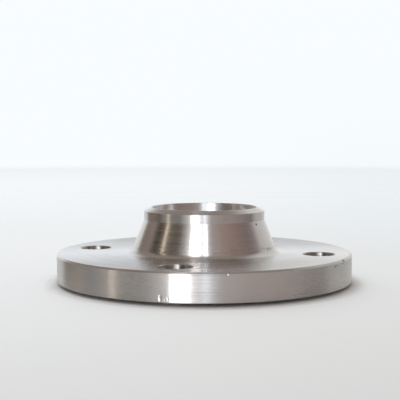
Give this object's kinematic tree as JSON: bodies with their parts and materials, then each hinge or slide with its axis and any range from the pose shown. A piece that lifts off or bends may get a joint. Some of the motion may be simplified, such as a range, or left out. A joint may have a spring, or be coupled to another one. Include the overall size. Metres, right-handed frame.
{
  "type": "weld neck flange",
  "caption": "Turned steel pipe flange with a raised gasket face, a drilled plate, a tapered neck hub and a bevelled end for butt welding.",
  "frame": {"origin": "centre of the gasket face, in the plane of the raised face, which is also the plane the flange stands on", "axes": "+Z along the bore towards the weld end; the bolt holes lie on the X and Y axes"},
  "size_m": [0.185, 0.185, 0.047],
  "materials": {
    "turned_steel": "fine turned, satin, with circular lathe lines"
  },
  "bodies": {
    "root": {"flange": "turned_steel"}
  },
  "joints": []
}
